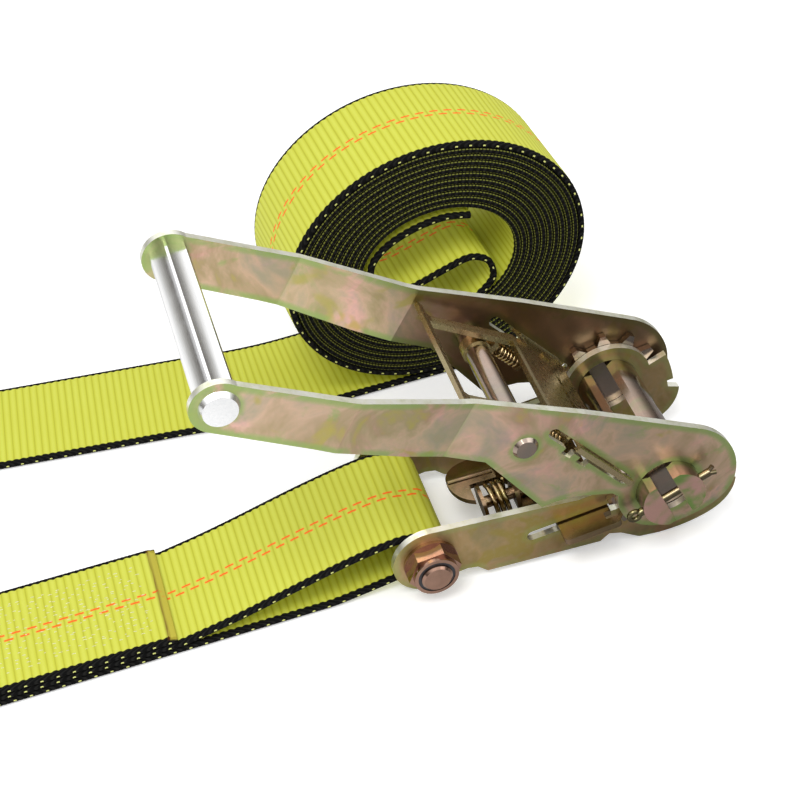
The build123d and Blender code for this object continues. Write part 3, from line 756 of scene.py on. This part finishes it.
def wire_spring(node, body, joint, size, material):
    """A round-wire coil spring in the place of a CAD one, laid along a sliding joint's axis.

    size is (coil radius, wire radius, turns, length). It stands between a fixed seat and the
    part that slides toward it."""
    radius, wire, turns, length = size
    for entry in frame["record"]["behaviour"]["joints"]:
        if entry["name"] == joint:
            run = -Vector(entry["axis"]).normalized()
    low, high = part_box(node)
    seat = (low + high) / 2 - run * length / 2
    side = run.orthogonal().normalized()
    other = run.cross(side)
    verts, faces = [], []
    sides, steps = 10, round(turns * 28)
    for i in range(steps + 1):
        a = 2 * math.pi * turns * i / steps
        # The first and last turns close up against their seats.
        t = i / steps
        rise = t + 0.35 / turns * math.sin(2 * math.pi * t) / math.pi
        out = side * math.cos(a) + other * math.sin(a)
        mid = seat + run * (wire + (length - 2 * wire) * rise) + out * radius
        for q in range(sides):
            b = 2 * math.pi * q / sides
            verts.append(mid + (out * math.cos(b) + run * math.sin(b)) * wire)
    for i in range(steps):
        for q in range(sides):
            n = (q + 1) % sides
            faces.append((i * sides + q, i * sides + n, (i + 1) * sides + n, (i + 1) * sides + q))
    faces.append(tuple(reversed(range(sides))))
    faces.append(tuple(steps * sides + q for q in range(sides)))
    piece = closed_mesh(node + "_wire", verts, faces, material)
    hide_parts(node)
    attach(piece, body)
    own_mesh(piece)


# ---------------------------------------------------------------- stage


def white_floor():
    """A plain white floor under everything, slightly lit so that shadows stay faint.

    Reflections see it dimmer and uneven, which gives the plated parts their depth."""
    mesh = bpy.data.meshes.new("floor")
    side = 3.0
    level = floor_z - 0.3 * MM
    corners = [(x, y, level) for x, y in ((-side, -side), (side, -side), (side, side), (-side, side))]
    mesh.from_pydata(corners, [], [(0, 1, 2, 3)])
    m = Shader("floor_paper")
    at = m.coords()
    grain = m.noise(at, 60.0, 2.0)
    cast = m.ramp(m.noise(at, 13.0, 2.0, 0.6, 0.5, 3.0), [(0.36, 0.45), (0.60, 1.0)])
    split = m.tree.nodes.new("ShaderNodeSeparateXYZ")
    m.put(split.inputs[0], at)
    fade = m.ramp(m.step(split.outputs[0], -0.13, 0.03), [(0.0, 1.0), (1.0, 0.42)])
    cast = m.mix(1.0, cast, fade, "MULTIPLY")
    mirror_only = m.tree.nodes.new("ShaderNodeLightPath").outputs["Is Glossy Ray"]
    pale = m.ramp(grain, [(0.3, 0.92), (0.7, 0.93)])
    m.set(Base_Color=m.mix(mirror_only, pale, cast), Roughness=0.9, Specular_IOR_Level=0.1)
    m.set(Emission_Color=m.mix(mirror_only, pale, (0.0, 0.0, 0.0)), Emission_Strength=0.30)
    mesh.materials.append(m.material)
    floor = bpy.data.objects.new("floor", mesh)
    bpy.context.scene.collection.objects.link(floor)


def soft_light(name, place, target, size, power):
    """A large square lamp aimed at a point."""
    data = bpy.data.lights.new(name, "AREA")
    data.shape = "SQUARE"
    data.size = size
    data.energy = power
    lamp = bpy.data.objects.new(name, data)
    lamp.location = place
    aim = Vector(target) - Vector(place)
    lamp.rotation_euler = aim.to_track_quat("-Z", "Y").to_euler()
    bpy.context.scene.collection.objects.link(lamp)


def studio():
    """White room light with a soft key from above the left and a weak one from the right.

    Mirror-like faces see the room as bright overhead and dark toward the horizon."""
    scene = bpy.context.scene
    scene.view_settings.view_transform = "Standard"
    world = bpy.data.worlds.new("studio")
    world.use_nodes = True
    nodes, links = world.node_tree.nodes, world.node_tree.links
    back = nodes["Background"]
    source = nodes.new("ShaderNodeTexCoord")
    split = nodes.new("ShaderNodeSeparateXYZ")
    links.new(source.outputs["Generated"], split.inputs[0])
    height = nodes.new("ShaderNodeValToRGB")
    stops = height.color_ramp.elements
    stops[0].position, stops[0].color = 0.0, (0.10, 0.09, 0.08, 1.0)
    stops[1].position, stops[1].color = 0.62, (1.5, 1.5, 1.5, 1.0)
    middle = stops.new(0.30)
    middle.color = (0.40, 0.39, 0.37, 1.0)
    links.new(split.outputs["Z"], height.inputs[0])
    path = nodes.new("ShaderNodeLightPath")
    pick = nodes.new("ShaderNodeMix")
    pick.data_type = "RGBA"
    pick.inputs[6].default_value = (0.72, 0.72, 0.72, 1.0)
    links.new(path.outputs["Is Glossy Ray"], pick.inputs[0])
    links.new(height.outputs[0], pick.inputs[7])
    links.new(pick.outputs[2], back.inputs[0])
    back.inputs[1].default_value = 1.0
    scene.world = world
    soft_light("key", (-0.55, -0.55, 1.4), (-0.05, 0.0, 0.0), 0.7, 12.0)
    soft_light("fill", (0.9, -0.7, 0.8), (-0.05, 0.0, 0.0), 0.9, 3.0)


def camera():
    """The camera: a long lens from the front left, tipped down, with a slight roll."""
    place = Vector((-212.1, -495.3, 486.5)) * MM
    yaw = math.radians(13.58)
    pitch = math.radians(41.17)
    roll = math.radians(-3.85)
    level = math.cos(pitch)
    look = Vector((math.sin(yaw) * level, math.cos(yaw) * level, -math.sin(pitch)))
    right = Vector((math.cos(yaw), -math.sin(yaw), 0.0))
    up = right.cross(look)
    right_r = right * math.cos(roll) + up * math.sin(roll)
    up_r = up * math.cos(roll) - right * math.sin(roll)
    turn = Matrix((right_r, up_r, -look)).transposed()
    data = bpy.data.cameras.new("camera")
    data.sensor_width = 36.0
    data.lens = 82.9
    data.clip_start = 0.01
    data.clip_end = 20.0
    body = bpy.data.objects.new("camera", data)
    body.matrix_world = Matrix.Translation(place) @ turn.to_4x4()
    bpy.context.scene.collection.objects.link(body)
    bpy.context.scene.camera = body


# ---------------------------------------------------------------- build

finish_metal()
weave = webbing()
short_piece = short_strap(weave)
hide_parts("short_strap")
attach(short_piece, "short_strap")
sewing = stitches(thread())
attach(sewing, "short_strap")
long_piece = long_strap(weave)
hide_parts("long_strap_roll", "long_strap_core", "long_strap_tail")
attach(long_piece, "long_strap")

spring_steel = bpy.data.materials["zinc_spring"]
lock_coil = (6.1 * MM, 1.0 * MM, 3.0, 9.4 * MM)
drive_coil = (2.3 * MM, 0.55 * MM, 6.0, 12.6 * MM)
wire_spring("lock_spring", "frame", "lock_slide", lock_coil, spring_steel)
for end in ("near", "far"):
    wire_spring("drive_spring_" + end, "handle", "pawl_slide", drive_coil, spring_steel)

white_floor()
studio()
camera()
